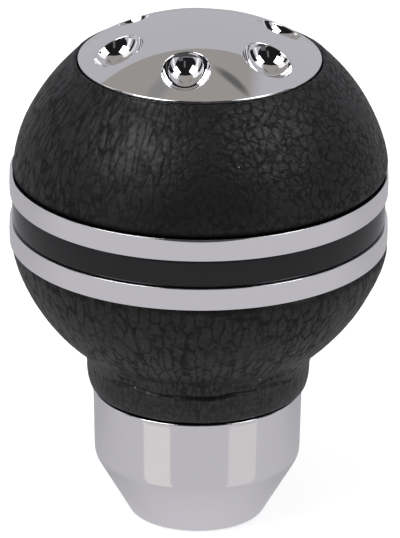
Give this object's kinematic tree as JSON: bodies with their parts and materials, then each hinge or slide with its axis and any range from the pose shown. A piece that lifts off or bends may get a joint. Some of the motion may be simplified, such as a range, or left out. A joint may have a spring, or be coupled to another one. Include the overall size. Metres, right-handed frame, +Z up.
{
  "type": "gear shift knob",
  "caption": "Ball gear shift knob with leather covers, chrome dome cap with round bowls, chrome rings, gloss black band and a screw-on metal collar.",
  "frame": {"origin": "centre of the collar's foot, on the surface that the knob stands on", "axes": "+Z up along the knob's axis through the middle of the dome cap; -Y to the side that the picture shows"},
  "size_m": [0.0548, 0.0548, 0.0755],
  "materials": {
    "chrome_trim": "mirror bright plating",
    "leather": "pebbled grain, soft sheen",
    "gloss_black": "polished",
    "core_plastic": "as moulded",
    "sleeve_plastic": "as moulded",
    "insert_metal": "turned",
    "black_steel": "black oxide",
    "screw_steel": "zinc plated",
    "nut_brass": "turned",
    "collar_metal": "polished satin"
  },
  "bodies": {
    "collar": {"collar": "collar_metal"},
    "knob": {"dome_cap": "chrome_trim", "cap_screw_1": "screw_steel", "cap_screw_2": "screw_steel", "cap_screw_3": "screw_steel", "upper_core": "core_plastic", "upper_leather": "leather", "upper_ring": "chrome_trim", "centre_band": "gloss_black", "lower_ring": "chrome_trim", "lower_core": "core_plastic", "lower_leather": "leather", "lever_insert": "insert_metal", "adapter_sleeve": "sleeve_plastic", "grub_screw_1": "black_steel", "grub_screw_2": "black_steel", "grub_screw_3": "black_steel", "tie_screw": "screw_steel", "tie_washer": "screw_steel", "tie_nut": "nut_brass"}
  },
  "joints": [
    {"name": "collar_travel", "type": "slide", "parent": "collar", "child": "knob", "axis": [0, 0, 1], "range_m": [0, 0.016]}
  ]
}
